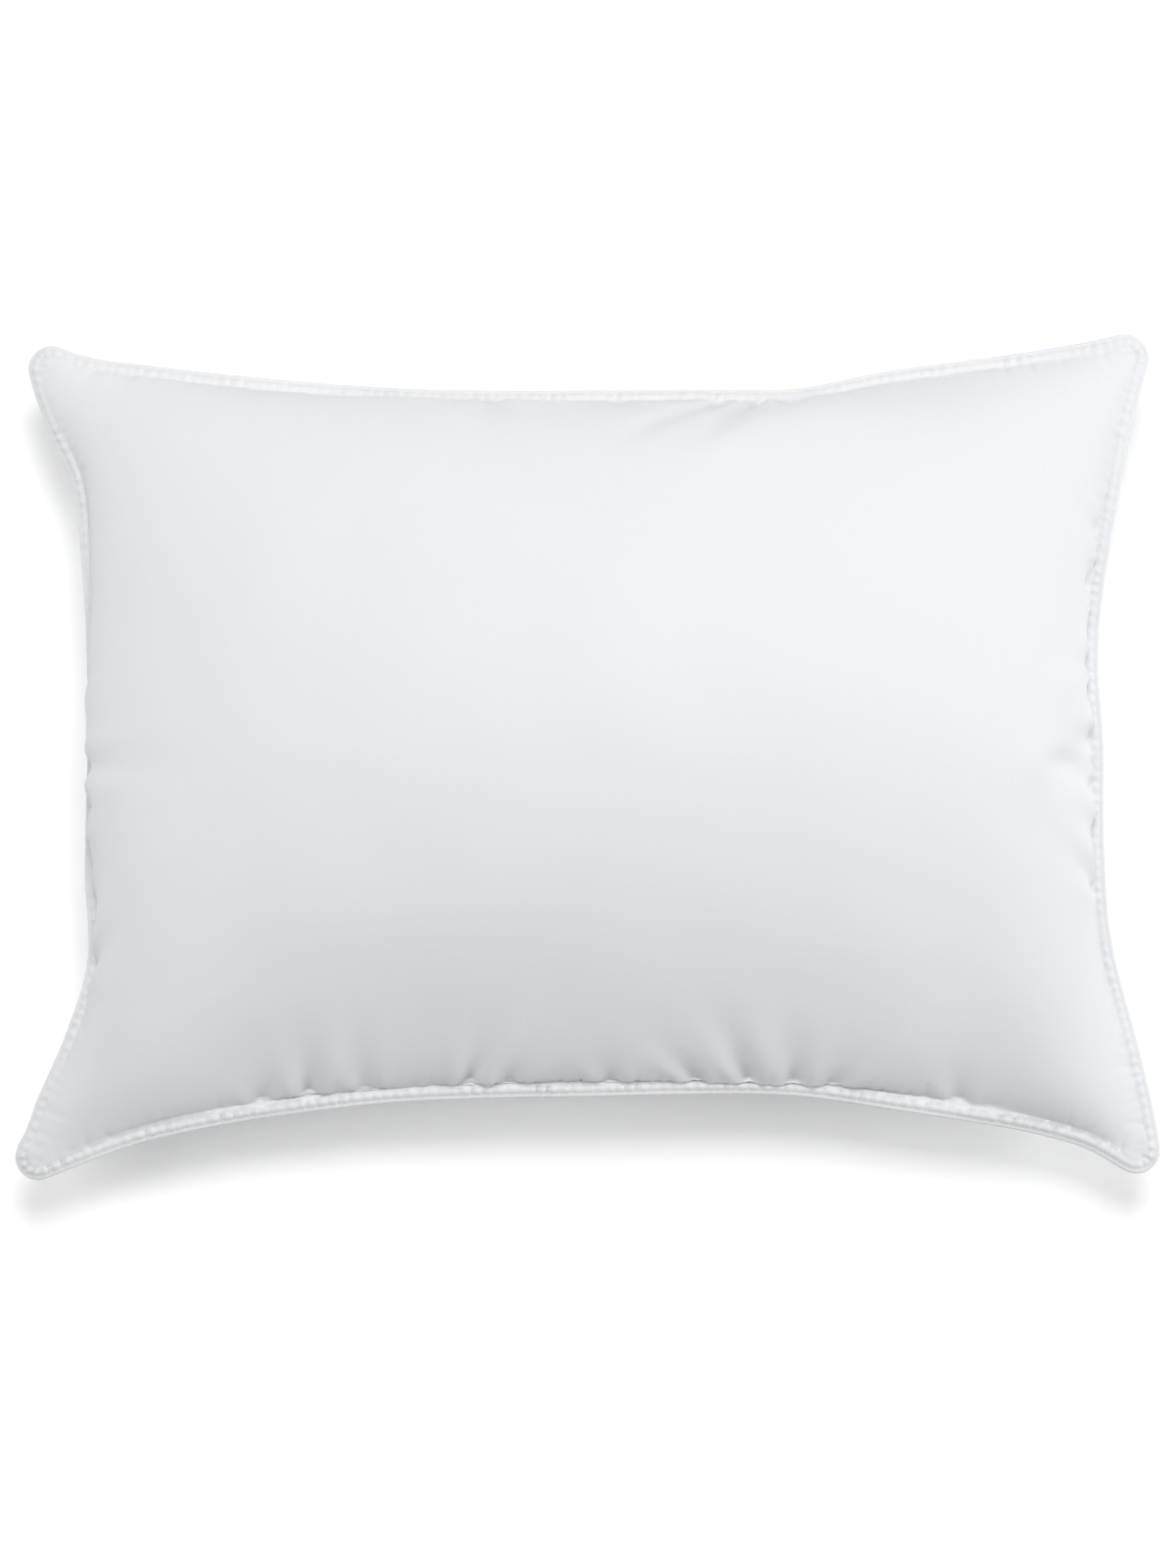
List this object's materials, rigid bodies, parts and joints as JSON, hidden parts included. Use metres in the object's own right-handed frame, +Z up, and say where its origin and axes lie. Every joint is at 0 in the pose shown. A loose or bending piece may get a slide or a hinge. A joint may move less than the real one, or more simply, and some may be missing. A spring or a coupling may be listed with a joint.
{
  "type": "bed pillow",
  "caption": "Rectangular stuffed bed pillow: two cloth panels joined by a flat double-stitched welt with pinched corner ears, around a fibre filling.",
  "frame": {"origin": "middle of the footprint, on the plane that the back panel rests on", "axes": "+X along the pillow's length, +Y along its width, +Z up through its loft, out of the front panel"},
  "size_m": [0.6448, 0.4799, 0.184],
  "materials": {
    "casing": "plain-woven cotton percale, matt with a slight sheen",
    "filling": "loose carded polyester fibre",
    "thread": "spun polyester sewing thread"
  },
  "bodies": {
    "root": {"front_panel": "casing", "back_panel": "casing", "fibre_fill": "filling", "joining_seam_thread": "thread", "overlock_thread": "thread", "inner_row_needle_thread": "thread", "inner_row_bobbin_thread": "thread", "outer_row_needle_thread": "thread", "outer_row_bobbin_thread": "thread"}
  },
  "joints": []
}
